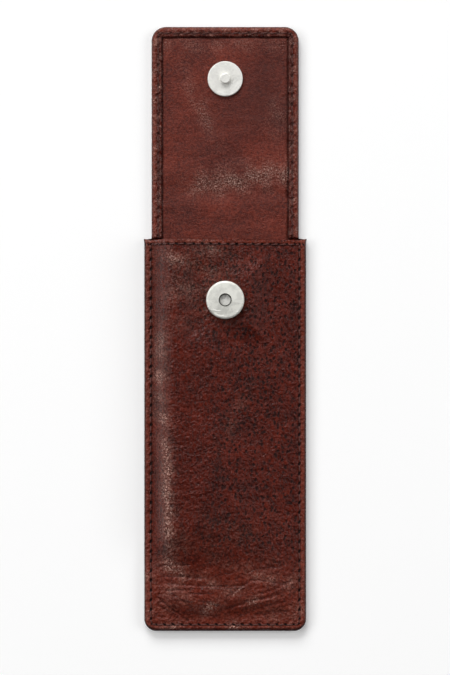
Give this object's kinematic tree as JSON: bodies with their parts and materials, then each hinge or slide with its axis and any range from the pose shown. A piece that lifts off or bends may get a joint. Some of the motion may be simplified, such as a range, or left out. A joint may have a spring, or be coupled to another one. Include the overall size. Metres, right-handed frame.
{
  "type": "pen sleeve",
  "caption": "Slim sewn leather sleeve for a single pen, with a long pocket, a fold-over flap with a turned and stitched hem, and a magnetic snap.",
  "frame": {"origin": "middle of the pocket's back face, on the surface that the sleeve lies on", "axes": "+Z out of the sleeve's front, +Y along the sleeve from the pocket's foot to the open flap's tip, +X across it, to the right when the front is seen with the flap up"},
  "size_m": [0.06, 0.224, 0.0129],
  "materials": {
    "leather": "dark red-brown pebbled leather, waxy half gloss",
    "lining": "smoother red-brown lining leather",
    "thread": "waxed red-brown thread, tone on tone",
    "board": "grey-brown fibre board, matt",
    "nickel": "brushed nickel plate with a bright rim",
    "steel": "plain stamped steel",
    "ferrite": "dark grey sintered magnet"
  },
  "bodies": {
    "pocket": {"back_leather": "leather", "back_board": "board", "back_lining": "lining", "front_leather": "leather", "front_lining": "lining", "pocket_seam_thread": "thread", "mouth_seam_thread": "thread", "rise_seam_thread": "thread", "socket_shell": "nickel", "socket_magnet": "ferrite", "socket_base": "steel", "socket_pole": "nickel", "socket_prongs": "steel", "socket_washer": "steel"},
    "spine": {"spine_leather": "leather", "spine_lining": "lining", "spine_seam_thread": "thread"},
    "flap": {"flap_leather": "leather", "flap_board": "board", "flap_lining": "lining", "flap_seam_thread": "thread", "stud_plate": "nickel", "stud_post": "nickel", "stud_prongs": "steel", "stud_washer": "steel"}
  },
  "joints": [
    {"name": "spine_fold", "type": "hinge", "parent": "pocket", "child": "spine", "pos_m": [0, 0.0861, 0.0032], "axis": [1, 0, 0], "range_deg": [0, 90]},
    {"name": "flap_fold", "type": "hinge", "parent": "spine", "child": "flap", "pos_m": [0, 0.0961, 0.0032], "axis": [1, 0, 0], "range_deg": [0, 90]}
  ]
}
